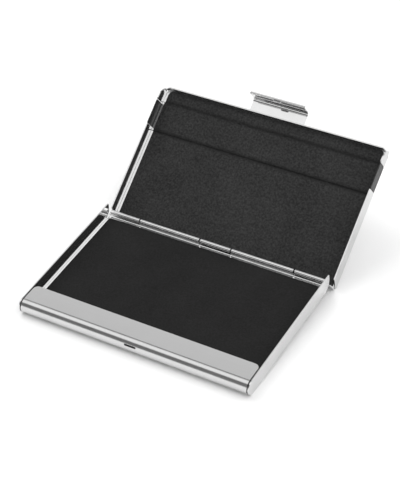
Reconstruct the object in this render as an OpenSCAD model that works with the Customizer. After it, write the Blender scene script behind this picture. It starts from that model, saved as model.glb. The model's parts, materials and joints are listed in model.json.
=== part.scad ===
// Business card case: a shallow metal tray with a rolled front lip, and a hinged
// telescoping lid with a leather band and a front clasp, standing open.
//
// Two working frames are used. In the tray frame the tray's underside is z = 0, +Y is
// the hinge side and y = 0 is just behind the end plates. In the lid frame the hinge
// pin is the origin, +Y runs along the lid panel to its free edge and -Z faces outward.

/* [Tray] */
// Width over the two end plates
tray_w = 95; // [90:0.5:100]
// Height from the underside to the top of the lip
tray_h = 6.1; // [5.5:0.1:7]
// Centre of the rolled front edge, in front of the hinge side
roll_y = 58.1; // [56:0.1:60]
// Depth of the flat top of the lip, from the roll's centre to its rear edge
lip_depth = 7.5; // [6:0.1:9]
// Thickness of the metal sheet
sheet = 0.5; // [0.4:0.05:0.55]
// Radius of the lip's two rear corners
lip_corner_r = 2; // [1:0.1:2.5]
// Gap between each end of the lip and its end plate
lip_gap = 0.4; // [0.3:0.05:0.6]
// Radius of the lower rear corner of the end plates
end_rear_r = 4.5; // [4:0.1:5]
// Length of the catch slot in the roll
slot_len = 4.8; // [4:0.1:6]
// Height of the catch slot in the roll
slot_h = 0.7; // [0.6:0.05:0.9]
// Direction of the catch slot from the roll's centre, above level
slot_angle = 23; // [20:0.5:26]

/* [Hinge] */
// Hinge axis, in front of the tray frame's origin
hinge_y = 0.5; // [0.4:0.05:0.6]
// Hinge axis above the tray's underside
hinge_z = 2.1; // [2:0.05:2.3]
// Outer radius of the knuckles
knuckle_r = 0.9; // [0.85:0.01:0.95]
// Radius of the hinge pin
pin_r = 0.45; // [0.4:0.01:0.47]
// Radial clearance of the pin in its knuckles
pin_fit = 0.03; // [0.02:0.01:0.05]
// Length of the row of five knuckles
barrel_len = 93; // [88:0.5:93]
// Length of the middle knuckle and of each outer knuckle
short_knuckle = 13.4; // [12:0.1:15]
// Gap between neighbouring knuckles
knuckle_gap = 0.35; // [0.2:0.05:0.4]
// Thickness of the tray's hinge strip
leaf_t = 0.4; // [0.35:0.05:0.4]

/* [Lid] */
// Angle that the lid stands open, from shut
open_angle = 147; // [90:1:148]
// Clearance between each lid wall and the tray's end plate
lid_side_gap = 0.15; // [0.1:0.01:0.3]
// Distance from the hinge axis to the lid's front edge
lid_len = 55.3; // [54.5:0.1:56]
// Distance from the hinge axis to the lid panel's outer face
lid_drop = 7.03; // [6.9:0.01:7.2]
// Distance from the hinge axis to the free edge of the side walls
wall_free = 1.6; // [1.4:0.1:2]
// Radius of the panel's two front corners, seen from above
panel_corner_r = 3; // [2.5:0.1:3.2]
// Radius of the front end of the side walls
wall_front_r = 4.5; // [4:0.1:4.6]
// Clearance between the front flange and the lip when shut
shut_gap = 0.15; // [0.1:0.05:0.3]

/* [Band and clasp] */
// Rear edge of the leather band, from the hinge axis
band_start = 38.25; // [36:0.25:40]
// Width of the leather band
band_w = 10.25; // [8:0.25:11]
// Depth of the channel pressed into the panel for the band
channel_depth = 0.4; // [0.3:0.05:0.45]
// Width of the clasp
clasp_w = 23.5; // [20:0.5:28]
// Thickness of the clasp
clasp_t = 0.4; // [0.35:0.05:0.45]
// Outer radius of the half curl at the clasp's tip
curl_r = 0.55; // [0.5:0.05:0.65]

/* [Linings] */
// Thickness of the linings
liner_t = 0.35; // [0.25:0.05:0.4]
// Bare metal left beside the tray's lining
tray_margin = 1; // [0.5:0.1:2]
// Bare metal left beside the lid's lining
lid_margin = 1.1; // [0.5:0.1:2]

/* [Hidden] */
fine = 96;
medium = 64;
overrun = 1;
half_tray = tray_w / 2;
half_floor = half_tray - sheet;
half_lip = half_floor - lip_gap;
roll_r = tray_h / 2;
lip_rear = -roll_y + lip_depth;
end_rear = -0.6;
floor_rear = -0.65;
leaf_front = -hinge_y - knuckle_r;
leaf_foot = 1.25;
leaf_fillet = 0.5;
window_top = 1;
liner_corner_r = 0.8;
liner_tuck = 7;
half_barrel = barrel_len / 2;
half_short = short_knuckle / 2;
long_knuckle = (barrel_len - 3 * short_knuckle) / 2;
half_lid = half_tray + lid_side_gap + sheet;
half_panel = half_lid - sheet;
lid_tilt = 180 - open_angle;
rear_bend_r = 1;
rear_bend_s = -knuckle_r + rear_bend_r;
rear_bend_a = lid_drop - rear_bend_r;
panel_in = lid_drop - sheet;
flange_free = tray_h + shut_gap - hinge_z;
flange_end_angle = 42;
knuckle_window = 1.2;
wall_rear = 1.9;
wall_rear_low = -0.4;
ramp = 0.5;
channel_start = band_start - 0.95;
channel_end = band_start + band_w + 0.5;
band_gap = 0.15;
liner_front = lid_len - sheet - 0.1;
liner_rear = 0.3;
lid_liner_r = 2.4;
clasp_root = band_start + band_w + 1.7;
clasp_in_s = -hinge_y + roll_y + roll_r + 0.12;
clasp_bend_r = 1.2;
clasp_bend_s = clasp_in_s - clasp_bend_r;
clasp_bend_a = lid_drop - clasp_bend_r;
clasp_tip = 1.7;
curl_a = clasp_tip + curl_r;
nib_r = 0.3;
nib_reach = 0.55;
nib_len = slot_len - 0.8;
nib_a = roll_r - hinge_z + roll_r * sin(slot_angle);

// Point of the lid frame carried into the tray frame at the open angle
function lid_y(s, a) = -hinge_y + s * cos(lid_tilt) + a * sin(lid_tilt);
function lid_z(s, a) = hinge_z + s * sin(lid_tilt) - a * cos(lid_tilt);

// The open case stands on its front roll and on the lid's lower rear bend
prop_dy = lid_y(rear_bend_s, rear_bend_a) + roll_y;
prop_dz = lid_z(rear_bend_s, rear_bend_a) - roll_r;
prop_span = sqrt(prop_dy * prop_dy + prop_dz * prop_dz);
prop_tilt = asin((rear_bend_r - roll_r) / prop_span) - atan2(prop_dz, prop_dy);
stand_z = roll_r + roll_y * sin(prop_tilt) - roll_r * cos(prop_tilt);
front_y = -roll_y * cos(prop_tilt) - roll_r * sin(prop_tilt) - roll_r;
rear_y = lid_y(clasp_bend_s, clasp_bend_a) * cos(prop_tilt)
    - lid_z(clasp_bend_s, clasp_bend_a) * sin(prop_tilt) + clasp_bend_r + clasp_t;
stand_y = -(front_y + rear_y) / 2;

// Tray frame placed as the open case stands
module tray_frame() {
    translate([0, stand_y, stand_z])
        rotate([prop_tilt, 0, 0])
            children();
}

// Lid frame placed at the open angle
module lid_frame() {
    tray_frame()
        translate([0, -hinge_y, hinge_z])
            rotate([lid_tilt, 0, 0])
                children();
}

// A profile drawn in Y and Z, extruded from x0 to x1
module along_x(x0, x1) {
    translate([x0, 0, 0])
        rotate([90, 0, 90])
            linear_extrude(x1 - x0)
                children();
}

// Rectangle between two corners
module box2(x0, y0, x1, y1) {
    translate([x0, y0])
        square([x1 - x0, y1 - y0]);
}

// Block between two corners
module box3(x0, y0, z0, x1, y1, z1) {
    translate([x0, y0, z0])
        cube([x1 - x0, y1 - y0, z1 - z0]);
}

// Plate outline, half_x wide each side, from y0 to y1, with the two corners at y1 round
module rounded_far_plate(half_x, y0, y1, r) {
    box2(-half_x, y0, half_x, y1 - r);
    box2(-half_x + r, y1 - r, half_x - r, y1);
    for (side = [-1, 1])
        translate([side * (half_x - r), y1 - r])
            circle(r, $fn = medium);
}

// Half ring of sheet that rolls the tray's front edge over
module roll_profile() {
    translate([-roll_y, roll_r])
        difference() {
            circle(roll_r, $fn = fine);
            circle(roll_r - sheet, $fn = fine);
            box2(0, -roll_r - overrun, roll_r + overrun, roll_r + overrun);
        }
}

// Slot through the roll that the clasp's nib drops into
module catch_slot() {
    translate([0, -roll_y, roll_r])
        rotate([-slot_angle, 0, 0])
            rotate([90, 0, 0])
                linear_extrude(roll_r + overrun) {
                    square([slot_len - slot_h, slot_h], center = true);
                    for (side = [-1, 1])
                        translate([side * (slot_len - slot_h) / 2, 0])
                            circle(slot_h / 2, $fn = medium);
                }
}

// Floor, front roll and lip, formed from one sheet
module tray_shell() {
    color("silver")
        tray_frame()
            difference() {
                union() {
                    box3(-half_lip, -roll_y, 0, half_lip, lip_rear, sheet);
                    box3(-half_floor, -roll_y + roll_r, 0, half_floor, floor_rear, sheet);
                    along_x(-half_lip, half_lip)
                        roll_profile();
                    translate([0, 0, tray_h - sheet])
                        linear_extrude(sheet)
                            rounded_far_plate(half_lip, -roll_y, lip_rear, lip_corner_r);
                }
                catch_slot();
            }
}

// Outline of an end plate, seen from the side
module end_profile() {
    translate([-roll_y, roll_r])
        circle(roll_r, $fn = fine);
    box2(-roll_y, 0, end_rear - end_rear_r, tray_h);
    box2(end_rear - end_rear_r, end_rear_r, end_rear, tray_h);
    intersection() {
        translate([end_rear - end_rear_r, end_rear_r])
            circle(end_rear_r, $fn = fine);
        box2(end_rear - end_rear_r, 0, end_rear, tray_h);
    }
}

// End plate on one side of the tray, side is -1 for left and 1 for right
module tray_end(side) {
    inner = side * half_floor;
    outer = side * half_tray;
    color("gainsboro")
        tray_frame()
            along_x(min(inner, outer), max(inner, outer))
                end_profile();
}

module tray_end_left() {
    tray_end(-1);
}

module tray_end_right() {
    tray_end(1);
}

// Ring of one knuckle around the hinge axis at the origin
module knuckle_ring() {
    difference() {
        circle(knuckle_r, $fn = medium);
        circle(pin_r + pin_fit, $fn = medium);
    }
}

// Foot of the tray's hinge strip, with the fillet of its bend and a low upright
module strip_foot_profile() {
    box2(leaf_front - leaf_foot, sheet, leaf_front + leaf_t, sheet + leaf_t);
    box2(leaf_front, sheet, leaf_front + leaf_t, window_top);
}

// Upright of the hinge strip that rises into a knuckle
module strip_upright_profile() {
    difference() {
        box2(leaf_front, sheet, leaf_front + leaf_t, hinge_z);
        translate([-hinge_y, hinge_z])
            circle(pin_r + pin_fit, $fn = medium);
    }
    translate([-hinge_y, hinge_z])
        knuckle_ring();
    difference() {
        box2(leaf_front - leaf_fillet, sheet + leaf_t,
            leaf_front, sheet + leaf_t + leaf_fillet);
        translate([leaf_front - leaf_fillet, sheet + leaf_t + leaf_fillet])
            circle(leaf_fillet, $fn = medium);
    }
}

// Strip on the tray's rear edge with the two long knuckles
module tray_hinge_strip() {
    color("silver")
        tray_frame() {
            along_x(-half_barrel, half_barrel)
                strip_foot_profile();
            for (side = [-1, 1]) {
                near = side * (half_short + knuckle_gap / 2);
                far = side * (half_short + long_knuckle - knuckle_gap / 2);
                along_x(min(near, far), max(near, far))
                    strip_upright_profile();
            }
        }
}

// Smooth black lining glued to the tray's floor
module tray_lining() {
    color([0.12, 0.12, 0.12])
        tray_frame()
            translate([0, 0, sheet])
                linear_extrude(liner_t)
                    rounded_far_plate(half_floor - tray_margin, lip_rear - liner_tuck,
                        leaf_front - leaf_foot - 0.05, liner_corner_r);
}

// Pin through all five knuckles
module hinge_pin() {
    color("dimgray")
        tray_frame()
            translate([-half_barrel, -hinge_y, hinge_z])
                rotate([0, 90, 0])
                    cylinder(h = barrel_len, r = pin_r, $fn = medium);
}

// Panel section with the shallow channel pressed in for the band
module panel_section(outer, inner, s0, s1) {
    dip = channel_depth;
    polygon([[s0, -outer], [channel_start - ramp, -outer], [channel_start, -outer + dip],
        [channel_end, -outer + dip], [channel_end + ramp, -outer], [s1, -outer],
        [s1, -inner], [channel_end + ramp, -inner], [channel_end, -inner + dip],
        [channel_start, -inner + dip], [channel_start - ramp, -inner], [s0, -inner]]);
}

// Round outer edge of the panel's front, seen from the side. x runs outward.
module edge_round() {
    intersection() {
        translate([-sheet, -panel_in])
            circle(sheet, $fn = medium);
        box2(-sheet, -lid_drop, 0, -panel_in);
    }
}

// Low flange turned up along the panel's front
module flange_upright() {
    box2(-sheet, -panel_in, 0, -flange_free);
}

// One front corner of the panel, about the centre of its radius
module panel_corner() {
    translate([0, 0, -lid_drop])
        linear_extrude(sheet)
            intersection() {
                circle(panel_corner_r - sheet, $fn = fine);
                square(panel_corner_r);
            }
    rotate_extrude(angle = 90, $fn = fine)
        translate([panel_corner_r, 0])
            edge_round();
    rotate([0, 0, flange_end_angle])
        rotate_extrude(angle = 90 - flange_end_angle, $fn = fine)
            translate([panel_corner_r, 0])
                flange_upright();
}

// Lid panel with its front flange, formed from one sheet
module lid_panel() {
    corner_x = half_lid - panel_corner_r;
    corner_s = lid_len - panel_corner_r;
    color("silver")
        lid_frame() {
            along_x(-half_panel, half_panel)
                panel_section(lid_drop, panel_in, rear_bend_s, corner_s);
            box3(-corner_x, corner_s, -lid_drop, corner_x, lid_len - sheet, -panel_in);
            along_x(-corner_x, corner_x)
                translate([lid_len, 0]) {
                    edge_round();
                    flange_upright();
                }
            for (side = [0, 1])
                mirror([side, 0, 0])
                    translate([corner_x, corner_s, 0])
                        panel_corner();
        }
}

// Rear part of a side wall, from the slanted rear end to the band
module wall_rear_profile() {
    polygon([[wall_rear, -wall_free], [band_start - band_gap, -wall_free],
        [band_start - band_gap, -panel_in], [rear_bend_s, -panel_in],
        [wall_rear_low, -rear_bend_a]]);
}

// Front part of a side wall, from the band to the round front end
module wall_front_profile() {
    front_s = lid_len - 0.6 - wall_front_r;
    front_a = wall_free + wall_front_r;
    box2(band_start + band_w + band_gap, -panel_in, lid_len - panel_corner_r, -front_a);
    box2(band_start + band_w + band_gap, -front_a, front_s, -wall_free);
    difference() {
        translate([front_s, -front_a])
            circle(wall_front_r, $fn = fine);
        box2(front_s - wall_front_r - overrun, -front_a - wall_front_r - overrun,
            front_s, -wall_free + overrun);
        box2(front_s - overrun, -front_a - wall_front_r - overrun,
            front_s + wall_front_r + overrun, -front_a);
    }
}

// Round outer edge along the foot of a side wall
module wall_edge(s0, s1) {
    translate([half_panel, s1, -panel_in])
        rotate([90, 0, 0])
            linear_extrude(s1 - s0)
                intersection() {
                    circle(sheet, $fn = medium);
                    box2(0, -sheet, sheet, 0);
                }
}

// Rear part of the side wall on the right, mirrored for the left
module wall_rear_part(flip) {
    color("gainsboro")
        lid_frame()
            mirror([flip, 0, 0]) {
                along_x(half_panel, half_lid)
                    wall_rear_profile();
                wall_edge(rear_bend_s, band_start - band_gap);
            }
}

// Front part of the side wall on the right, mirrored for the left
module wall_front_part(flip) {
    color("gainsboro")
        lid_frame()
            mirror([flip, 0, 0]) {
                along_x(half_panel, half_lid)
                    wall_front_profile();
                wall_edge(band_start + band_w + band_gap, lid_len - panel_corner_r);
            }
}

module lid_wall_left_rear() {
    wall_rear_part(1);
}

module lid_wall_left_front() {
    wall_front_part(1);
}

module lid_wall_right_rear() {
    wall_rear_part(0);
}

module lid_wall_right_front() {
    wall_front_part(0);
}

// Lid's rear wall with the bend that meets the panel, cut off above at the given height
module hinge_wall_profile(free) {
    difference() {
        box2(-knuckle_r, -rear_bend_a, -knuckle_r + sheet, -free);
        circle(pin_r + pin_fit, $fn = medium);
    }
    translate([rear_bend_s, -rear_bend_a])
        difference() {
            circle(rear_bend_r, $fn = medium);
            circle(rear_bend_r - sheet, $fn = medium);
            box2(0, -rear_bend_r - overrun, rear_bend_r + overrun, rear_bend_r + overrun);
            box2(-rear_bend_r - overrun, 0, rear_bend_r + overrun, rear_bend_r + overrun);
        }
}

// Rear wall of the lid with the three short knuckles
module lid_hinge_wall() {
    color("silver")
        lid_frame() {
            along_x(-half_panel, half_panel)
                hinge_wall_profile(knuckle_window);
            for (i = [-1, 0, 1]) {
                middle = i * (half_barrel - half_short);
                along_x(middle - half_short + knuckle_gap / 2,
                    middle + half_short - knuckle_gap / 2) {
                    hinge_wall_profile(0);
                    knuckle_ring();
                }
            }
        }
}

// Grained black lining glued inside the lid, following the band's channel
module lid_lining() {
    color([0.16, 0.16, 0.16])
        lid_frame()
            intersection() {
                along_x(-half_lid, half_lid)
                    panel_section(panel_in, panel_in - liner_t, liner_rear, liner_front);
                translate([0, 0, -lid_drop])
                    linear_extrude(lid_drop)
                        rounded_far_plate(half_panel - lid_margin, liner_rear,
                            liner_front, lid_liner_r);
            }
}

// Section of the band, seen along the panel: across the outside and up both sides
module band_section() {
    outer_r = 0.8;
    difference() {
        union() {
            box2(-half_lid, -lid_drop + outer_r, half_lid, -wall_free);
            box2(-half_lid + outer_r, -lid_drop, half_lid - outer_r, -wall_free);
            for (side = [-1, 1])
                translate([side * (half_lid - outer_r), -lid_drop + outer_r])
                    circle(outer_r, $fn = medium);
        }
        box2(-half_panel, -lid_drop + channel_depth, half_panel, -wall_free + overrun);
    }
}

// Leather band around the outside of the lid
module leather_band() {
    color([0.2, 0.2, 0.2])
        lid_frame()
            translate([0, band_start + band_w, 0])
                rotate([90, 0, 0])
                    linear_extrude(band_w)
                        band_section();
}

// Section of the clasp: flat root, quarter bend, straight drop and half curl
module clasp_profile() {
    box2(clasp_root, -lid_drop - clasp_t, clasp_bend_s, -lid_drop);
    translate([clasp_bend_s, -clasp_bend_a])
        intersection() {
            difference() {
                circle(clasp_bend_r + clasp_t, $fn = fine);
                circle(clasp_bend_r, $fn = fine);
            }
            box2(0, -clasp_bend_r - overrun, clasp_bend_r + overrun, 0);
        }
    box2(clasp_in_s, -clasp_bend_a, clasp_in_s + clasp_t, -curl_a);
    translate([clasp_in_s + curl_r, -curl_a])
        difference() {
            circle(curl_r, $fn = medium);
            circle(curl_r - clasp_t, $fn = medium);
            box2(-curl_r - overrun, -curl_r - overrun, curl_r + overrun, 0);
        }
}

// Spring-steel clasp that reaches over the front roll when the lid is shut, with its nib
module clasp() {
    color("lightgray")
        lid_frame() {
            along_x(-clasp_w / 2, clasp_w / 2)
                clasp_profile();
            translate([-nib_len / 2, clasp_in_s - nib_reach + nib_r, -nib_a]) {
                rotate([0, 90, 0])
                    cylinder(h = nib_len, r = nib_r, $fn = medium);
                box3(0, 0, -nib_r, nib_len, nib_reach - nib_r + clasp_t / 2, nib_r);
            }
        }
}

tray_shell();
tray_end_left();
tray_end_right();
tray_hinge_strip();
tray_lining();
hinge_pin();
lid_panel();
lid_wall_left_rear();
lid_wall_left_front();
lid_wall_right_rear();
lid_wall_right_front();
lid_hinge_wall();
lid_lining();
leather_band();
clasp();
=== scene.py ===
# Business card case, standing open: a formed steel tray and a hinged telescoping lid.
import bpy
import bmesh
import json
import math
from mathutils import Matrix, Vector
from mathutils.geometry import delaunay_2d_cdt


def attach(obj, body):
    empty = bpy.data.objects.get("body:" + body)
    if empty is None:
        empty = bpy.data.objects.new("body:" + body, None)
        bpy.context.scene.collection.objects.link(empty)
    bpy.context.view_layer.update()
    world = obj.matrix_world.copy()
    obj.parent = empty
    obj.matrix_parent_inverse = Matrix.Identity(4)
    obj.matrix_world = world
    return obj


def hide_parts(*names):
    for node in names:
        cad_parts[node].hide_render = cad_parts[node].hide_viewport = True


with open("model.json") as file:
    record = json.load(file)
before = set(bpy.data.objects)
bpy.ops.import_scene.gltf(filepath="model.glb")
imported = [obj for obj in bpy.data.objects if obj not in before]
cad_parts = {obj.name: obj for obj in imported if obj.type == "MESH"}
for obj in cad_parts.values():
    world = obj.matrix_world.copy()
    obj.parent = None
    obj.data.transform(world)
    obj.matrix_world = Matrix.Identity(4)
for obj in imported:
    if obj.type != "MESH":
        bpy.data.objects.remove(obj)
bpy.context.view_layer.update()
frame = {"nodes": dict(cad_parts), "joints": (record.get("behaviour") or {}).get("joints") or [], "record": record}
print("frame loaded,", len(frame["nodes"]), "solids")

mm = 0.001

# The hinge and the lean come from the record. In the tray frame the underside is z = 0 and the hinge side
# is +Y. In the lid frame the pin is the origin, +Y runs to the lid's free edge and -Z faces outward.
joint = frame["joints"][0]
lean = math.asin(frame["record"]["mounts"][0]["axis"][1])
openTilt = math.radians(180 - joint["range_deg"][1])
hinge = {"y": -0.5, "z": 2.1}  # pin in the tray frame, mm
trayPlace = (Matrix.Translation(joint["pos_m"]) @ Matrix.Rotation(lean, 4, "X")
             @ Matrix.Translation((0, -hinge["y"] * mm, -hinge["z"] * mm)))
lidPlace = Matrix.Translation(joint["pos_m"]) @ Matrix.Rotation(lean + openTilt, 4, "X")


def fromHex(code):
    # sRGB hex to linear light
    out = []
    for i in (1, 3, 5):
        c = int(code[i:i + 2], 16) / 255
        out.append(c / 12.92 if c <= 0.04045 else ((c + 0.055) / 1.055) ** 2.4)
    return (*out, 1.0)


def addNode(tree, kind, values=None, links=None, **settings):
    node = tree.nodes.new(kind)
    for key, value in settings.items():
        setattr(node, key, value)
    for key, value in (values or {}).items():
        node.inputs[key].default_value = value
    for key, source in (links or {}).items():
        tree.links.new(source, node.inputs[key])
    return node


def setRamp(node, stops):
    ramp = node.color_ramp
    while len(ramp.elements) < len(stops):
        ramp.elements.new(0.5)
    for element, (position, level) in zip(ramp.elements, stops):
        element.position = position
        element.color = (level, level, level, 1)
    return node


def roundCorner(cx, cy, radius, fromDeg, toDeg, count=10):
    steps = [math.radians(fromDeg + (toDeg - fromDeg) * i / count) for i in range(count + 1)]
    return [(cx + radius * math.cos(a), cy + radius * math.sin(a)) for a in steps]


def roundedBlank(x0, x1, y0, y1, radius, count=5):
    # rectangle with four round corners
    return (roundCorner(x0 + radius, y0 + radius, radius, 180, 270, count)
            + roundCorner(x1 - radius, y0 + radius, radius, 270, 360, count)
            + roundCorner(x1 - radius, y1 - radius, radius, 0, 90, count)
            + roundCorner(x0 + radius, y1 - radius, radius, 90, 180, count))


def squareEndBlank(half, near, far, radius, count=10):
    # square at the near end, two round corners at the far end
    return ([(-half, near), (half, near)] + roundCorner(half - radius, far - radius, radius, 0, 90, count)
            + roundCorner(-half + radius, far - radius, radius, 90, 180, count))


def insideLoop(x, y, loop):
    found = False
    for (x0, y0), (x1, y1) in zip(loop, loop[1:] + loop[:1]):
        if (y0 > y) != (y1 > y) and x < (x1 - x0) * (y - y0) / (y1 - y0) + x0:
            found = not found
    return found


def bentPath(start, heading, steps, turnStep=8):
    # Middle line of a bent sheet. A step is (length,) for a straight run
    # or (radius, degrees) for a bend, + to the left.
    runs, rows, u = [], [0.0], 0.0
    place, angle = Vector(start), math.radians(heading)
    for step in steps:
        runs.append((u, place.copy(), angle, step))
        if len(step) == 1:
            place += Vector((math.cos(angle), math.sin(angle))) * step[0]
            u += step[0]
            rows.append(u)
            continue
        radius, turn = step[0], math.radians(step[1])
        side = 1 if turn > 0 else -1
        centre = place + Vector((-math.sin(angle), math.cos(angle))) * side * radius
        angle += turn
        place = centre - Vector((-math.sin(angle), math.cos(angle))) * side * radius
        count = max(2, math.ceil(abs(step[1]) / turnStep))
        rows += [u + radius * abs(turn) * i / count for i in range(1, count + 1)]
        u += radius * abs(turn)

    def at(u, offset):
        u0, start, angle, step = [r for r in runs if r[0] <= u + 1e-7][-1]
        left = Vector((-math.sin(angle), math.cos(angle)))
        if len(step) == 1:
            return start + Vector((math.cos(angle), math.sin(angle))) * (u - u0) + left * offset
        side = 1 if step[1] > 0 else -1
        turned = angle + side * (u - u0) / step[0]
        outward = Vector((-math.sin(turned), math.cos(turned)))
        return start + left * side * step[0] - outward * (side * step[0] - offset)

    return at, rows, u


# degrees: faces flatter than this are joined, rims sharper than this are eased, and shading breaks here
angles = {"flat": 0.2, "rim": 35, "sharp": 38}


def finishPiece(bm, name, node, body, place, material, edge, edgeSteps=2):
    # softens the convex rims, keeps flats flat in the shading, and hangs the piece on its body
    bmesh.ops.remove_doubles(bm, verts=bm.verts, dist=1e-4)
    bmesh.ops.recalc_face_normals(bm, faces=bm.faces)
    bmesh.ops.dissolve_limit(bm, angle_limit=math.radians(angles["flat"]), verts=bm.verts, edges=bm.edges)
    rims = [e for e in bm.edges
            if len(e.link_faces) == 2 and e.calc_face_angle_signed(0) > math.radians(angles["rim"])]
    if edge:
        bmesh.ops.bevel(bm, geom=rims, offset=edge, segments=edgeSteps, profile=0.5, affect="EDGES",
                        clamp_overlap=True)
    bmesh.ops.transform(bm, matrix=place @ Matrix.Scale(mm, 4), verts=bm.verts)
    mesh = bpy.data.meshes.new(name)
    bm.to_mesh(mesh)
    bm.free()
    mesh.polygons.foreach_set("use_smooth", [True] * len(mesh.polygons))
    mesh.set_sharp_from_angle(angle=math.radians(angles["sharp"]))
    mesh.materials.append(material)
    piece = bpy.data.objects.new(name, mesh)
    bpy.context.scene.collection.objects.link(piece)
    even = piece.modifiers.new("evenNormals", "WEIGHTED_NORMAL")
    even.keep_sharp = True
    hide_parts(node)
    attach(piece, body)
    print("made", name, len(mesh.polygons), "faces")
    return piece


def sheetPiece(name, node, body, place, material, outline, bend, thick,
               holes=(), creases=(), edge=0.12, edgeSteps=2):
    # Cuts the flat blank, with an edge along every crease, then bends it to its shape
    # at its real thickness, in mm.
    points, links = [], []
    for line, closed in [(outline, True)] + [(h, True) for h in holes] + [(c, False) for c in creases]:
        first = len(points)
        points += [Vector(p) for p in line]
        links += [(first + i, first + i + 1) for i in range(len(line) - 1)]
        if closed:
            links.append((first + len(line) - 1, first))
    flat, _, triangles = delaunay_2d_cdt(points, links, [], 0, 1e-5)[:3]  # 0 keeps the whole hull
    kept, uses = [], {}
    for t in triangles:
        x, y = sum(flat[i].x for i in t) / 3, sum(flat[i].y for i in t) / 3
        if insideLoop(x, y, outline) and not any(insideLoop(x, y, h) for h in holes):
            kept.append(list(t))
            for a, b in zip(t, t[1:] + t[:1]):
                uses.setdefault(frozenset((a, b)), []).append((a, b))
    bm = bmesh.new()
    used = sorted({i for t in kept for i in t})
    upper = {i: bm.verts.new(bend(flat[i].x, flat[i].y, thick / 2)) for i in used}
    lower = {i: bm.verts.new(bend(flat[i].x, flat[i].y, -thick / 2)) for i in used}
    for t in kept:
        bm.faces.new([upper[i] for i in t])
        bm.faces.new([lower[i] for i in reversed(t)])
    for found in uses.values():
        if len(found) == 1:
            a, b = found[0]
            bm.faces.new([upper[b], upper[a], lower[a], lower[b]])
    return finishPiece(bm, name, node, body, place, material, edge, edgeSteps)


def across(rows, reach=60):
    # creases straight across the blank
    return [[(-reach, u), (reach, u)] for u in rows]


def newMaterial(name):
    material = bpy.data.materials.new(name)
    material.use_nodes = True
    return material, material.node_tree, material.node_tree.nodes["Principled BSDF"]


# Object coordinates are metres in the row's frame, so 1000 / size in mm gives a pattern's scale.
finestRelief = 0.004 * mm  # depth of a brush line or a scratch in steel
scratchStretch = 0.45  # the scattered scratches are longer and wider than the brush lines by this


def steelFinish(name, look):
    # Stainless sheet. Fine parallel scratches run along one axis, over clouds of slightly duller metal
    # and a slow waviness that bends the reflections as thin sheet does. Real brush lines are a few
    # hundredths of a millimetre wide, and these are drawn at about 0.1 so that they show.
    material, tree, shader = newMaterial(name)
    row = addNode(tree, "ShaderNodeTexCoord").outputs["Object"]
    place = addNode(tree, "ShaderNodeVectorRotate", {"Angle": -look["tilt"]}, {"Vector": row},
                    rotation_type="X_AXIS").outputs[0]
    grainScale = [1000 / look["grainLength" if axis == look["grainAxis"] else "grainWidth"] for axis in "XYZ"]
    grainPlace = addNode(tree, "ShaderNodeMapping", {"Scale": grainScale}, {"Vector": place})
    grain = addNode(tree, "ShaderNodeTexNoise", {"Scale": 1.0, "Detail": 3.0, "Roughness": 0.6},
                    {"Vector": grainPlace.outputs[0]})
    clouds = addNode(tree, "ShaderNodeTexNoise",
                     {"Scale": 1000 / look["cloudSize"], "Detail": 4.0, "Roughness": 0.55}, {"Vector": place})
    waves = addNode(tree, "ShaderNodeTexNoise", {"Scale": 1000 / look["waveLength"], "Detail": 1.0},
                    {"Vector": place})
    # scattered deeper scratches: only the peaks of a stretched noise
    scratchPlace = addNode(tree, "ShaderNodeMapping",
                           {"Scale": [s * scratchStretch for s in grainScale], "Rotation": (0.02, 0.03, 0.05)},
                           {"Vector": place})
    scratchNoise = addNode(tree, "ShaderNodeTexNoise", {"Scale": 1.0, "Detail": 1.0},
                           {"Vector": scratchPlace.outputs[0]})
    scratches = setRamp(addNode(tree, "ShaderNodeValToRGB", links={"Fac": scratchNoise.outputs[0]}),
                        [(0.66, 0.0), (0.74, 1.0)])
    tone = addNode(tree, "ShaderNodeMapRange", {"From Min": 0.3, "From Max": 0.7}, {"Value": clouds.outputs[0]})
    colour = addNode(tree, "ShaderNodeMix", {6: fromHex(look["dark"]), 7: fromHex(look["light"])},
                     {"Factor": tone.outputs[0]}, data_type="RGBA")
    dull = addNode(tree, "ShaderNodeMapRange",
                   {"From Min": 0.3, "From Max": 0.7, "To Min": look["roughness"] - look["roughnessSpread"],
                    "To Max": look["roughness"] + look["roughnessSpread"]}, {"Value": clouds.outputs[0]})
    grainDull = addNode(tree, "ShaderNodeMath", {1: look["roughnessSpread"]}, {0: grain.outputs[0]},
                        operation="MULTIPLY")
    scratchDull = addNode(tree, "ShaderNodeMath", {1: look["scratches"] * 0.25}, {0: scratches.outputs[0]},
                          operation="MULTIPLY")
    dullSum = addNode(tree, "ShaderNodeMath", links={0: dull.outputs[0], 1: grainDull.outputs[0]},
                      operation="ADD")
    rough = addNode(tree, "ShaderNodeMath", links={0: dullSum.outputs[0], 1: scratchDull.outputs[0]},
                    operation="ADD", use_clamp=True)
    waveBump = addNode(tree, "ShaderNodeBump", {"Strength": 1.0, "Distance": look["waveDepth"] * mm},
                       {"Height": waves.outputs[0]})
    grainBump = addNode(tree, "ShaderNodeBump", {"Strength": look["grainStrength"], "Distance": finestRelief},
                        {"Height": grain.outputs[0], "Normal": waveBump.outputs[0]})
    scratchBump = addNode(tree, "ShaderNodeBump", {"Strength": look["scratches"], "Distance": finestRelief},
                          {"Height": scratches.outputs[0], "Normal": grainBump.outputs[0]}, invert=True)
    tree.links.new(colour.outputs[2], shader.inputs["Base Color"])
    tree.links.new(rough.outputs[0], shader.inputs["Roughness"])
    tree.links.new(scratchBump.outputs[0], shader.inputs["Normal"])
    shader.inputs["Metallic"].default_value = 1.0
    return material


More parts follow.
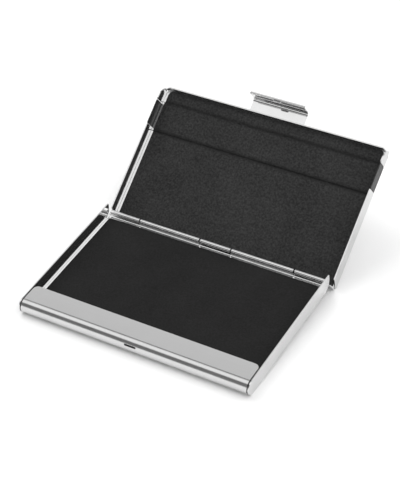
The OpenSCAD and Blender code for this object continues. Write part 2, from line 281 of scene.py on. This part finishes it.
# satin stainless sheet, bead-finished then lightly brushed along the width: soft even grey with a fine mottle
satinSteel = steelFinish("satinBrushedSteel", {
    "dark": "#d0d0d0", "light": "#d6d6d6", "roughness": 0.2, "roughnessSpread": 0.02,
    "tilt": lean, "grainAxis": "X", "grainLength": 9.0, "grainWidth": 0.16, "grainStrength": 0.3,
    "cloudSize": 9.0, "waveLength": 34.0, "waveDepth": 0.012, "scratches": 0.12})
# lid sheet, the same finish with a slightly longer grain
satinLidSteel = steelFinish("satinBrushedLidSteel", {
    "dark": "#d0d0d0", "light": "#d6d6d6", "roughness": 0.23, "roughnessSpread": 0.02,
    "tilt": lean + openTilt, "grainAxis": "X", "grainLength": 12.0, "grainWidth": 0.14, "grainStrength": 0.4,
    "cloudSize": 10.0, "waveLength": 34.0, "waveDepth": 0.012, "scratches": 0.15})
# end plates and lid walls, buffed along their length: near mirror with faint lengthwise lines
buffed = {"dark": "#d4d4d4", "light": "#dcdcdc", "roughness": 0.13, "roughnessSpread": 0.02,
          "grainAxis": "Y", "grainLength": 8.0, "grainWidth": 0.12, "grainStrength": 0.2,
          "cloudSize": 7.0, "waveLength": 22.0, "waveDepth": 0.01, "scratches": 0.12}
buffedPlateSteel = steelFinish("buffedPlateSteel", {**buffed, "tilt": lean})
# darker copy of the buffed finish for the lid walls, as painted shade
buffedWallSteelShadedCopy = steelFinish("buffedWallSteelShadedCopy",
                              {**buffed, "dark": "#cdcdcd", "light": "#d8d8d8", "tilt": lean + openTilt})
# rolled knuckles, burnished by the forming tool: bright with fine rings of wear
burnishedSteel = steelFinish("burnishedHingeSteel", {
    "dark": "#dadada", "light": "#e6e6e6", "roughness": 0.1, "roughnessSpread": 0.02,
    "tilt": 0.0, "grainAxis": "X", "grainLength": 7.0, "grainWidth": 0.1, "grainStrength": 0.1,
    "cloudSize": 6.0, "waveLength": 20.0, "waveDepth": 0.003, "scratches": 0.08})
# drawn wire, coloured near black as painted shade: it reads as a black line in the gaps between the knuckles
pinDarkAsGapShade = steelFinish("drawnWireDarkAsGapShade", {
    "dark": "#303030", "light": "#3e3e3e", "roughness": 0.4, "roughnessSpread": 0.04,
    "tilt": 0.0, "grainAxis": "X", "grainLength": 6.0, "grainWidth": 0.08, "grainStrength": 0.4,
    "cloudSize": 2.0, "waveLength": 10.0, "waveDepth": 0.004, "scratches": 0.3})
# spring strip, buffed bright after hardening
springSteel = steelFinish("buffedSpringSteel", {
    "dark": "#d6d6d6", "light": "#dfdfdf", "roughness": 0.07, "roughnessSpread": 0.015,
    "tilt": 0.0, "grainAxis": "X", "grainLength": 14.0, "grainWidth": 0.11, "grainStrength": 0.06,
    "cloudSize": 8.0, "waveLength": 30.0, "waveDepth": 0.0005, "scratches": 0.03})


def leatherFinish(name, look):
    # Black leather or coated lining. Small rounded grain cells with fine pores in their valleys,
    # a slow change of tone, and a low soft gloss from the coating.
    material, tree, shader = newMaterial(name)
    place = addNode(tree, "ShaderNodeTexCoord").outputs["Object"]
    warp = addNode(tree, "ShaderNodeTexNoise", {"Scale": 1000 / (look["cell"] * 3), "Detail": 2.0},
                   {"Vector": place})
    warped = addNode(tree, "ShaderNodeMix", {"Factor": look["cell"] * 0.0012},
                     {4: place, 5: warp.outputs["Color"]}, data_type="VECTOR")
    cells = addNode(tree, "ShaderNodeTexVoronoi", {"Scale": 1000 / look["cell"], "Randomness": 1.0},
                    {"Vector": warped.outputs[1]}, feature="SMOOTH_F1")
    fine = addNode(tree, "ShaderNodeTexNoise", {"Scale": 1000 / look["pore"], "Detail": 3.0, "Roughness": 0.65},
                   {"Vector": place})
    patches = addNode(tree, "ShaderNodeTexNoise", {"Scale": 1000 / look["patch"], "Detail": 3.0},
                      {"Vector": place})
    height = addNode(tree, "ShaderNodeMath", {1: -look["cellDepth"]}, {0: cells.outputs["Distance"]},
                     operation="MULTIPLY")
    relief = addNode(tree, "ShaderNodeMath", {1: look["poreDepth"]}, {0: fine.outputs[0], 2: height.outputs[0]},
                     operation="MULTIPLY_ADD")
    speckle = addNode(tree, "ShaderNodeMapRange", {"From Min": 0.35, "From Max": 0.7},
                      {"Value": fine.outputs[0]})
    toneMix = addNode(tree, "ShaderNodeMath", {1: look["speckle"]},
                      {0: speckle.outputs[0], 2: patches.outputs[0]}, operation="MULTIPLY_ADD")
    tone = addNode(tree, "ShaderNodeMapRange", {"From Min": 0.35, "From Max": 0.7 + look["speckle"]},
                   {"Value": toneMix.outputs[0]})
    colour = addNode(tree, "ShaderNodeMix", {6: fromHex(look["dark"]), 7: fromHex(look["light"])},
                     {"Factor": tone.outputs[0]}, data_type="RGBA")
    rough = addNode(tree, "ShaderNodeMapRange",
                    {"From Min": 0.3, "From Max": 0.7, "To Min": look["roughness"] - 0.06,
                     "To Max": look["roughness"] + 0.06}, {"Value": fine.outputs[0]})
    bump = addNode(tree, "ShaderNodeBump", {"Strength": look["bump"], "Distance": look["relief"] * mm},
                   {"Height": relief.outputs[0]})
    tree.links.new(colour.outputs[2], shader.inputs["Base Color"])
    tree.links.new(rough.outputs[0], shader.inputs["Roughness"])
    tree.links.new(bump.outputs[0], shader.inputs["Normal"])
    shader.inputs["IOR"].default_value = 1.48
    shader.inputs["Specular IOR Level"].default_value = look["gloss"]
    return material


def paintCreaseShade(material, place, positions, width, keep):
    # paints a soft dark line of shade into the leather colour along each crease, at these distances from the pin
    tree = material.node_tree
    shader = tree.nodes["Principled BSDF"]
    colour = shader.inputs["Base Color"].links[0].from_socket
    turn = lean + openTilt
    row = addNode(tree, "ShaderNodeTexCoord").outputs["Object"]
    moved = addNode(tree, "ShaderNodeVectorMath", {1: [-v for v in place]}, {0: row}, operation="ADD")
    along = addNode(tree, "ShaderNodeVectorMath", {1: (0, math.cos(turn) / mm, math.sin(turn) / mm)},
                    {0: moved.outputs[0]}, operation="DOT_PRODUCT").outputs["Value"]
    wander = addNode(tree, "ShaderNodeTexNoise", {"Scale": 60.0, "Detail": 1.0}, {"Vector": row})
    for position in positions:
        off = addNode(tree, "ShaderNodeMath", {1: position}, {0: along}, operation="SUBTRACT")
        far = addNode(tree, "ShaderNodeMath", links={0: off.outputs[0]}, operation="ABSOLUTE")
        edgeFar = addNode(tree, "ShaderNodeMath", {1: width * 0.6, 2: width * 0.7}, {0: wander.outputs[0]},
                          operation="MULTIPLY_ADD")
        shade = addNode(tree, "ShaderNodeMapRange", {"From Min": 0.0, "To Min": keep, "To Max": 1.0},
                        {"Value": far.outputs[0], "From Max": edgeFar.outputs[0]},
                        interpolation_type="SMOOTHSTEP")
        colour = addNode(tree, "ShaderNodeVectorMath", links={0: colour, "Scale": shade.outputs[0]},
                         operation="SCALE").outputs[0]
    tree.links.new(colour, shader.inputs["Base Color"])


# calendered PVC leathercloth, nearly smooth: flat dark grey-black with the faintest pore,
# drawn several times coarser than real so that it shows
smoothLining = leatherFinish("smoothBlackLeathercloth", {
    "dark": "#131313", "light": "#252525", "cell": 0.55, "cellDepth": 0.5, "pore": 0.6, "poreDepth": 0.5,
    "patch": 14.0, "speckle": 1.4, "roughness": 0.62, "bump": 0.25, "relief": 0.02, "gloss": 0.12})
# embossed leathercloth: a fine pebble that gives a dull speckle, drawn coarser than real so that it shows
grainedLining = leatherFinish("pebbledBlackLeathercloth", {
    "dark": "#0e0e0e", "light": "#383838", "cell": 0.9, "cellDepth": 0.9, "pore": 0.75, "poreDepth": 0.8,
    "patch": 16.0, "speckle": 1.6, "roughness": 0.6, "bump": 0.8, "relief": 0.1, "gloss": 0.25})
# drum-dyed strap leather, rolled and waxed: darker and glossier than the linings,
# its grain drawn coarser than real so that it shows
strapLeather = leatherFinish("waxedStrapLeather", {
    "dark": "#0a0a0a", "light": "#2c2c2c", "cell": 0.9, "cellDepth": 0.8, "pore": 0.7, "poreDepth": 0.7,
    "patch": 9.0, "speckle": 1.2, "roughness": 0.36, "bump": 0.9, "relief": 0.09, "gloss": 0.4})
print("materials ready")

fineBend, plainBend = 4.5, 9  # degrees between the creases of a bend that shows, and of a small one

# tray shell: floor, front roll and flat lip in one sheet, with the catch slot in the roll
tray = {"halfWidth": 47.0, "halfLip": 46.6, "rear": -0.65, "rollY": -58.1, "height": 6.1, "thick": 0.5,
        "lipDepth": 7.5, "lipCorner": 2.0, "slotLength": 4.8, "slotHeight": 0.66, "slotAngle": 23}
rollRadius = tray["height"] / 2
rollMid = rollRadius - tray["thick"] / 2
trayAt, trayRows, trayLength = bentPath(
    (tray["rear"], tray["thick"] / 2), 180,
    [(tray["rear"] - tray["rollY"],), (rollMid, -180), (tray["lipDepth"],)], fineBend)
floorEnd = tray["rear"] - (tray["rollY"] + rollRadius)
lipR = tray["lipCorner"]
shellOutline = ([(-tray["halfWidth"], 0), (tray["halfWidth"], 0), (tray["halfWidth"], floorEnd),
                 (tray["halfLip"], floorEnd)]
                + roundCorner(tray["halfLip"] - lipR, trayLength - lipR, lipR, 0, 90)
                + roundCorner(-tray["halfLip"] + lipR, trayLength - lipR, lipR, 90, 180)
                + [(-tray["halfLip"], floorEnd), (-tray["halfWidth"], floorEnd)])
slotU = tray["rear"] - tray["rollY"] + rollMid * math.radians(90 + tray["slotAngle"])
slotR = tray["slotHeight"] / 2
slotReach = tray["slotLength"] / 2 - slotR
catchSlot = roundCorner(slotReach, slotU, slotR, -90, 90) + roundCorner(-slotReach, slotU, slotR, 90, 270)
sheetPiece(
    "trayShellSheet", "tray_shell", "tray", trayPlace, satinSteel, shellOutline,
    lambda x, u, off: Vector((x, *trayAt(u, off))), tray["thick"], [catchSlot], across(trayRows[1:-1]), 0.1)

# end plates, flat with a round front and a round lower rear corner
endPlate = {"inner": 47.0, "thick": 0.5, "rear": -0.6, "rearRadius": 4.5, "edge": 0.13}
endR = endPlate["rearRadius"]
endOutline = (roundCorner(tray["rollY"], rollRadius, rollRadius, 90, 270, 28)
              + roundCorner(endPlate["rear"] - endR, endR, endR, -90, 0, 16)
              + [(endPlate["rear"], tray["height"])])
for side, word in ((-1, "left"), (1, "right")):
    middle = side * (endPlate["inner"] + endPlate["thick"] / 2)
    sheetPiece("trayEndPlate" + word.capitalize(), "tray_end_" + word, "tray", trayPlace, buffedPlateSteel,
               endOutline, lambda y, z, off, middle=middle: Vector((middle + off, y, z)),
               endPlate["thick"], edge=endPlate["edge"])

# hinge strip: foot, bend and two tabs rolled round the pin
knuckles = {"outer": 0.9, "half": 46.5, "short": 13.4, "gap": 0.55, "rolled": 295}
strip = {"front": -2.65, "level": 0.7, "thick": 0.4, "bendRadius": 0.7, "footRun": 0.75, "windowTurn": 55}
stripMid = knuckles["outer"] - strip["thick"] / 2
stripAt, stripRows, stripLength = bentPath(
    (strip["front"], strip["level"]), 0,
    [(strip["footRun"],), (strip["bendRadius"], 90), (hinge["z"] - strip["level"] - strip["bendRadius"],),
     (stripMid, -knuckles["rolled"])], plainBend)
windowU = strip["footRun"] + strip["bendRadius"] * math.radians(strip["windowTurn"])
nearTab = knuckles["short"] / 2 + knuckles["gap"] / 2
farTab = knuckles["half"] - knuckles["short"] - knuckles["gap"] / 2
stripOutline = [(-knuckles["half"], 0), (knuckles["half"], 0), (knuckles["half"], windowU)]
for near, far in ((farTab, nearTab), (-nearTab, -farTab)):
    stripOutline += [(near, windowU), (near, stripLength), (far, stripLength), (far, windowU)]
stripOutline.append((-knuckles["half"], windowU))
sheetPiece(
    "trayHingeStripSheet", "tray_hinge_strip", "tray", trayPlace, burnishedSteel, stripOutline,
    lambda x, u, off: Vector((x, *stripAt(u, off))), strip["thick"], (), across(stripRows[1:-1]), 0.06)

# tray lining, laid on the floor and tucked under the lip
trayLiner = {"halfWidth": 46.0, "front": -57.6, "rear": -2.7, "level": 0.675, "thick": 0.35, "corner": 0.8}
trayLinerOutline = squareEndBlank(trayLiner["halfWidth"], trayLiner["front"], trayLiner["rear"],
                                  trayLiner["corner"], 6)
trayLining = sheetPiece(
    "trayLiningSheet", "tray_lining", "tray", trayPlace, smoothLining, trayLinerOutline,
    lambda x, y, off: Vector((x, y, trayLiner["level"] + off)), trayLiner["thick"], edge=0.1, edgeSteps=3)

# hinge pin: drawn wire with domed ends
pin = {"radius": 0.45, "half": 46.5, "dome": 0.3, "domeSteps": 5, "sides": 32}
bm = bmesh.new()
profile = [(-pin["half"] + pin["dome"] * (1 - math.cos(t)), pin["radius"] - pin["dome"] * (1 - math.sin(t)))
           for t in [math.radians(90 * i / pin["domeSteps"]) for i in range(pin["domeSteps"] + 1)]]
profile += [(-x, r) for x, r in reversed(profile)]
spokes = [2 * math.pi * k / pin["sides"] for k in range(pin["sides"])]
rings = [[bm.verts.new((x, r * math.cos(a), r * math.sin(a))) for a in spokes] for x, r in profile]
for lower, upper in zip(rings, rings[1:]):
    for k in range(pin["sides"]):
        bm.faces.new([lower[k], lower[k - 1], upper[k - 1], upper[k]])
bm.faces.new(rings[0])
bm.faces.new(list(reversed(rings[-1])))
pinPlace = trayPlace @ Matrix.Translation((0, hinge["y"] * mm, hinge["z"] * mm))
# the pin's near-black colour is painted shade for the gaps between the knuckles
finishPiece(bm, "hingePinWire", "hinge_pin", "tray", pinPlace, pinDarkAsGapShade, 0)

# lid panel: its rim turns up round the front and its corners, and a shallow channel takes the band
lid = {"halfPanel": 47.65, "seam": 0.1, "halfLid": 48.15, "front": 55.3, "rear": 0.1, "drop": 7.03,
       "thick": 0.5, "corner": 3.0, "channelFrom": 37.3, "channelTo": 49.0, "ramp": 0.5, "rampSteps": 6,
       "channelDepth": 0.4, "flangeFree": 4.15, "flangeFrom": 42, "creasePast": 0.3}


def channelRise(s):
    # how far the panel is pressed inward for the band, with soft shoulders
    t = min((s - lid["channelFrom"] + lid["ramp"]), (lid["channelTo"] + lid["ramp"] - s)) / lid["ramp"]
    t = min(max(t, 0), 1)
    return lid["channelDepth"] * t * t * (3 - 2 * t)


channelRows = [s + lid["ramp"] * i / lid["rampSteps"]
               for s in (lid["channelFrom"] - lid["ramp"], lid["channelTo"]) for i in range(lid["rampSteps"] + 1)]
foldRadius = lid["corner"] - lid["thick"]
coreX, coreS = lid["halfLid"] - lid["corner"], lid["front"] - lid["corner"]
flangeAt, flangeRows, flangeLength = bentPath(
    (foldRadius, -lid["drop"] + lid["thick"] / 2), 0,
    [(lid["thick"] / 2, 90), (lid["drop"] - lid["thick"] - lid["flangeFree"],)], 18)
roundLength = lid["thick"] / 2 * math.pi / 2


def panelBend(x, s, off):
    # flat inside the fold line; past it the rim turns up round the front and its corners
    ax, ay = min(max(x, -coreX), coreX), min(s, coreS)
    reach = math.hypot(x - ax, s - ay)
    if s <= coreS + 1e-6 or reach <= foldRadius + 1e-6:
        return Vector((x, s, -lid["drop"] + lid["thick"] / 2 + channelRise(s) + off))
    radial, z = flangeAt(reach - foldRadius, off)
    return Vector((ax + (x - ax) / reach * radial, ay + (s - ay) / reach * radial, z))


panelHalf = lid["halfPanel"] - lid["seam"]
panelOutline = [(-panelHalf, lid["rear"]), (panelHalf, lid["rear"]), (panelHalf, coreS)]
roundR, flangeR = foldRadius + roundLength, foldRadius + flangeLength
panelOutline += roundCorner(coreX, coreS, roundR, 0, lid["flangeFrom"], 8)
panelOutline += roundCorner(coreX, coreS, flangeR, lid["flangeFrom"], 90, 10)
panelOutline += roundCorner(-coreX, coreS, flangeR, 90, 180 - lid["flangeFrom"], 10)
panelOutline += roundCorner(-coreX, coreS, roundR, 180 - lid["flangeFrom"], 180, 8)
panelOutline.append((-panelHalf, coreS))
panelCreases = across(channelRows)
for d in flangeRows[:-1]:
    panelCreases.append(roundCorner(coreX, coreS, foldRadius + d, 0, 90, 18)
                        + roundCorner(-coreX, coreS, foldRadius + d, 90, 180, 18))
for centre, start in ((coreX, 0), (-coreX, 90)):
    for turned in range(0, 91, 5):
        a = math.radians(start + turned)
        panelCreases.append([(centre + r * math.cos(a), coreS + r * math.sin(a))
                             for r in (foldRadius, flangeR + lid["creasePast"])])
sheetPiece("lidPanelSheet", "lid_panel", "lid", lidPlace, satinLidSteel, panelOutline, panelBend,
           lid["thick"], (), panelCreases, 0.1)

# side walls, each in two parts either side of the band, with a round foot that meets the panel
wall = {"free": 1.6, "thick": 0.5, "rearFoot": 0.1, "rearLow": -0.4, "rearTop": 1.9, "rearCut": 0.5,
        "bandFrom": 38.1, "bandTo": 48.65, "frontRadius": 4.5, "frontEnd": 54.7, "footEnd": 52.3}
wallMid = lid["halfPanel"] + wall["thick"] / 2
footDrop = lid["drop"] - wall["thick"]
wallAt, wallRows, wallLength = bentPath((wallMid, -wall["free"]), -90,
                                        [(footDrop - wall["free"],), (wall["thick"] / 2, -90)], 15)
footU = footDrop - wall["free"]
frontR = wall["frontRadius"]
wallOutlines = {
    "rear": [(wall["rearTop"], 0), (wall["bandFrom"], 0), (wall["bandFrom"], wallLength),
             (wall["rearFoot"], wallLength), (wall["rearFoot"], footU),
             (wall["rearLow"], footU - wall["rearCut"])],
    "front": [(wall["bandTo"], 0)] + roundCorner(wall["frontEnd"] - frontR, frontR, frontR, -90, 0, 14)
             + [(wall["footEnd"], frontR), (wall["footEnd"], wallLength), (wall["bandTo"], wallLength)]}


def wallBend(side):
    def bend(s, u, off):
        x, z = wallAt(u, off)
        return Vector((side * x, s, z))
    return bend


for side, word in ((-1, "left"), (1, "right")):
    for part, outline in wallOutlines.items():
        sheetPiece("lidWall" + word.capitalize() + part.capitalize(), f"lid_wall_{word}_{part}", "lid",
                   lidPlace, buffedWallSteelShadedCopy, outline, wallBend(side), wall["thick"], (),
                   across(wallRows[1:-1], 80), 0.1)

# rear wall of the lid with three short rolled tabs
rearWall = {"thick": 0.42, "bendOuter": 1.0, "bendAt": 6.03, "window": 1.2}
rearMid = knuckles["outer"] - rearWall["thick"] / 2
rearAt, rearRows, rearLength = bentPath(
    (lid["rear"], -lid["drop"] + rearWall["thick"] / 2), 180,
    [(rearWall["bendOuter"] - rearWall["thick"] / 2, -90), (rearWall["bendAt"],),
     (rearMid, -knuckles["rolled"])], plainBend)
rearWindowU = rearLength - rearMid * math.radians(knuckles["rolled"]) - rearWall["window"]
rearOutline = [(-lid["halfPanel"], 0), (lid["halfPanel"], 0), (lid["halfPanel"], rearWindowU)]
for middle in (1, 0, -1):
    at = middle * (knuckles["half"] - knuckles["short"] / 2)
    half = knuckles["short"] / 2 - knuckles["gap"] / 2
    rearOutline += [(at + half, rearWindowU), (at + half, rearLength), (at - half, rearLength),
                    (at - half, rearWindowU)]
rearOutline.append((-lid["halfPanel"], rearWindowU))
sheetPiece(
    "lidHingeWallSheet", "lid_hinge_wall", "lid", lidPlace, burnishedSteel, rearOutline,
    lambda x, u, off: Vector((x, *rearAt(u, off))), rearWall["thick"], (), across(rearRows[1:-1]), 0.06)

# lid lining, glued to the panel and creased along both edges of its channel
lidLiner = {"halfWidth": 46.55, "rear": 0.3, "front": 54.7, "level": -6.355, "thick": 0.35, "corner": 2.4,
            "creases": (37.0, 49.5), "creaseWidth": 1.3, "creaseDepth": 0.1, "creaseSteps": 5,
            "shadeWidth": 1.6, "shadeKeeps": 0.4}
lidLinerOutline = squareEndBlank(lidLiner["halfWidth"], lidLiner["rear"], lidLiner["front"], lidLiner["corner"])


def linerBend(x, s, off):
    # only the top face takes the creases
    nearest = min(abs(s - crease) for crease in lidLiner["creases"]) / lidLiner["creaseWidth"]
    groove = lidLiner["creaseDepth"] * math.cos(math.pi / 2 * nearest) ** 2 if nearest < 1 and off > 0 else 0
    return Vector((x, s, lidLiner["level"] + channelRise(s) + off - groove))


creaseRows = [s + lidLiner["creaseWidth"] * i / lidLiner["creaseSteps"] for s in lidLiner["creases"]
              for i in range(-lidLiner["creaseSteps"], lidLiner["creaseSteps"] + 1)]
lidLining = sheetPiece(
    "lidLiningSheet", "lid_lining", "lid", lidPlace, grainedLining, lidLinerOutline, linerBend,
    lidLiner["thick"], (), across(sorted(set(channelRows + creaseRows))), 0.1, 3)
# painted shade: the lining's colour is darkened along both creases
paintCreaseShade(grainedLining, joint["pos_m"], lidLiner["creases"],
              lidLiner["shadeWidth"], lidLiner["shadeKeeps"])

# leather band round the outside of the lid, up both sides
band = {"from": 38.25, "width": 10.25, "thick": 0.4, "corner": 0.4, "cornerMid": 0.6, "free": 1.6}
bandMid = lid["halfLid"] - band["thick"] / 2
sideRun = lid["drop"] - band["free"] - band["cornerMid"] - band["thick"] / 2
bandAt, bandRows, bandLength = bentPath(
    (-bandMid, -band["free"]), -90,
    [(sideRun,), (band["cornerMid"], 90), (2 * (bandMid - band["cornerMid"]),), (band["cornerMid"], 90),
     (sideRun,)], 12)
bandOutline = roundedBlank(band["from"], band["from"] + band["width"], 0, bandLength, band["corner"])


def bandBend(s, u, off):
    x, z = bandAt(u, off)
    return Vector((x, s, z))


leatherBand = sheetPiece(
    "leatherBandStrap", "leather_band", "lid", lidPlace, strapLeather, bandOutline, bandBend,
    band["thick"], (), across(bandRows[1:-1], 80), 0.14, 3)

# clasp: flat root lapped on the panel, a quarter bend, a short drop with a pressed nib,
# and a half curl to the outside
clasp = {"half": 11.75, "root": 50.2, "thick": 0.4, "bendStart": 59.57, "bendMid": 1.4, "curlAt": 2.25,
         "curlMid": 0.35, "corner": 0.3, "nibA": 2.14, "nibReach": 0.5, "nibHalf": 1.7, "nibRadius": 0.32,
         "nibRun": 0.55}
claspAt, claspRows, claspLength = bentPath(
    (clasp["root"], -lid["drop"] - clasp["thick"] / 2), 0,
    [(clasp["bendStart"] - clasp["root"],), (clasp["bendMid"], 90),
     (lid["drop"] + clasp["thick"] / 2 - clasp["bendMid"] - clasp["curlAt"],), (clasp["curlMid"], -180)],
    fineBend)
curlU = claspLength - clasp["curlMid"] * math.pi


def claspBend(x, u, off):
    # the nib is pressed inward from behind, as a short rounded ridge just under the curl
    s, z = claspAt(u, off)
    pastEnd = max(abs(x) - clasp["nibHalf"] + clasp["nibRadius"], 0)
    over = math.hypot(pastEnd, z + clasp["nibA"]) / clasp["nibRadius"]
    pressed = over < 1 and abs(u - curlU) < clasp["nibRun"]
    return Vector((x, s - clasp["nibReach"] * (1 - over * over) ** 0.75 if pressed else s, z))


claspOutline = roundedBlank(-clasp["half"], clasp["half"], 0, claspLength, clasp["corner"])
# closer creases round the nib, so that the ridge has a mesh to be pressed from
nibMesh = {"half": 2.4, "rowStep": 0.05, "columnFrom": 1.2, "columnStep": 0.07, "columns": 10,
           "below": 0.3, "above": 0.5}
nibRows = [curlU + nibMesh["rowStep"] * i for i in range(-6, 11)]
nibLines = [[(-nibMesh["half"], u), (nibMesh["half"], u)] for u in nibRows]
for side in (-1, 1):
    for i in range(nibMesh["columns"]):
        x = side * (nibMesh["columnFrom"] + nibMesh["columnStep"] * i)
        nibLines.append([(x, curlU - nibMesh["below"]), (x, curlU + nibMesh["above"])])
sheetPiece("claspSpring", "clasp", "lid", lidPlace, springSteel, claspOutline, claspBend, clasp["thick"],
           (), across(claspRows[1:-1]) + nibLines, 0.16, 3)

# studio: matt paper with a fine tooth that scatters the light, so the floor shows no reflection
studio = {"floorSize": 8.0, "floorTone": "#efefef", "fibreScale": 900.0, "keyPlace": (-0.75, 0.35, 1.15),
          "keySize": 1.1, "keyPower": 9.0}
bpy.ops.mesh.primitive_grid_add(x_subdivisions=4, y_subdivisions=4, size=studio["floorSize"],
                                location=(0, 0, 0))
floor = bpy.context.object
floor.name = "studioFloor"
paper, tree, paperShader = newMaterial("matStudioPaper")
fibre = addNode(tree, "ShaderNodeTexNoise", {"Scale": studio["fibreScale"], "Detail": 2.0},
                {"Vector": addNode(tree, "ShaderNodeTexCoord").outputs["Object"]})
fibreBump = addNode(tree, "ShaderNodeBump", {"Strength": 0.05, "Distance": 0.1 * mm},
                    {"Height": fibre.outputs[0]})
tree.links.new(fibreBump.outputs[0], paperShader.inputs["Normal"])
paperShader.inputs["Base Color"].default_value = fromHex(studio["floorTone"])
paperShader.inputs["Roughness"].default_value = 0.9
paperShader.inputs["Specular IOR Level"].default_value = 0.1
floor.data.materials.append(paper)

# Room: pale all round, with cards placed by how far across and how far back they stand
# for each metre of height.
# A soft box hangs overhead and runs down the right, a dark gap shows behind it, and the front left is dark.
room = {
    "walls": 0.92, "horizon": 1.25, "horizonFrom": 0.06, "horizonTo": 0.3,
    "soft": 0.06, "lowest": 0.02, "cardsFrom": 0.1, "cardsTo": 0.22,
    "cards": {  # across from, across to, back from, back to, brightness
        "frontLeftDark": (-9.0, 0.25, -9.0, -0.66, 0.18),
        "gapDark": (-9.0, 0.25, 0.24, 0.62, 0.24),
        "overhead": (-1.6, 0.4, -0.57, 0.14, 1.15),
        "right": (0.3, 2.2, -0.9, 1.3, 1.9)}}
world = bpy.data.worlds.new("softStudio")
bpy.context.scene.world = world
world.use_nodes = True
tree = world.node_tree
parts = addNode(tree, "ShaderNodeSeparateXYZ",
                links={"Vector": addNode(tree, "ShaderNodeTexCoord").outputs["Generated"]})
up = addNode(tree, "ShaderNodeMath", {1: room["lowest"]}, {0: parts.outputs["Z"]}, operation="MAXIMUM")
acrossOf = addNode(tree, "ShaderNodeMath", links={0: parts.outputs["X"], 1: up.outputs[0]}, operation="DIVIDE")
backOf = addNode(tree, "ShaderNodeMath", links={0: parts.outputs["Y"], 1: up.outputs[0]}, operation="DIVIDE")
level = addNode(tree, "ShaderNodeMapRange",
                {"From Min": room["horizonFrom"], "From Max": room["horizonTo"], "To Min": room["horizon"],
                 "To Max": room["walls"]}, {"Value": parts.outputs["Z"]}).outputs[0]
aboveHorizon = addNode(tree, "ShaderNodeMapRange", {"From Min": room["cardsFrom"], "From Max": room["cardsTo"]},
                       {"Value": parts.outputs["Z"]}).outputs[0]
for acrossFrom, acrossTo, backFrom, backTo, brightness in room["cards"].values():
    mask = aboveHorizon
    for source, edgeAt, sense in ((acrossOf, acrossFrom, 1), (acrossOf, acrossTo, -1),
                                  (backOf, backFrom, 1), (backOf, backTo, -1)):
        rim = addNode(tree, "ShaderNodeMapRange",
                      {"From Min": edgeAt - sense * room["soft"], "From Max": edgeAt + sense * room["soft"]},
                      {"Value": source.outputs[0]}, interpolation_type="SMOOTHSTEP")
        mask = addNode(tree, "ShaderNodeMath", links={0: mask, 1: rim.outputs[0]},
                       operation="MULTIPLY").outputs[0]
    level = addNode(tree, "ShaderNodeMix", {3: brightness}, {0: mask, 2: level}, data_type="FLOAT").outputs[0]
tree.nodes["Background"].inputs["Color"].default_value = (1, 1, 1, 1)
tree.links.new(level, tree.nodes["Background"].inputs["Strength"])

keyData = bpy.data.lights.new("keySoftBox", "AREA")
keyData.size = studio["keySize"]
keyData.energy = studio["keyPower"]
key = bpy.data.objects.new("keySoftBox", keyData)
key.location = studio["keyPlace"]
key.rotation_euler = (-Vector(studio["keyPlace"])).to_track_quat("-Z", "Y").to_euler()
key.visible_glossy = False  # the steel mirrors the room's cards, not this box
bpy.context.scene.collection.objects.link(key)

view = {"fromHinge": (0.2489, -0.400054, 0.376822), "right": (0.8620, 0.5044, -0.0494),
        "up": (-0.2834, 0.5605, 0.7781), "forward": (-0.4202, 0.6568, -0.6262), "lens": 116.55, "sensor": 36}
cameraData = bpy.data.cameras.new("mainCamera")
cameraData.lens = view["lens"]
cameraData.sensor_width = view["sensor"]
cameraData.clip_start = 0.01
camera = bpy.data.objects.new("mainCamera", cameraData)
turn = Matrix((view["right"], view["up"], [-v for v in view["forward"]])).transposed()
camera.matrix_world = Matrix.Translation(Vector(joint["pos_m"]) + Vector(view["fromHinge"])) @ turn.to_4x4()
bpy.context.scene.collection.objects.link(camera)
bpy.context.scene.camera = camera
bpy.context.scene.view_settings.view_transform = "Standard"
print("studio and camera ready")
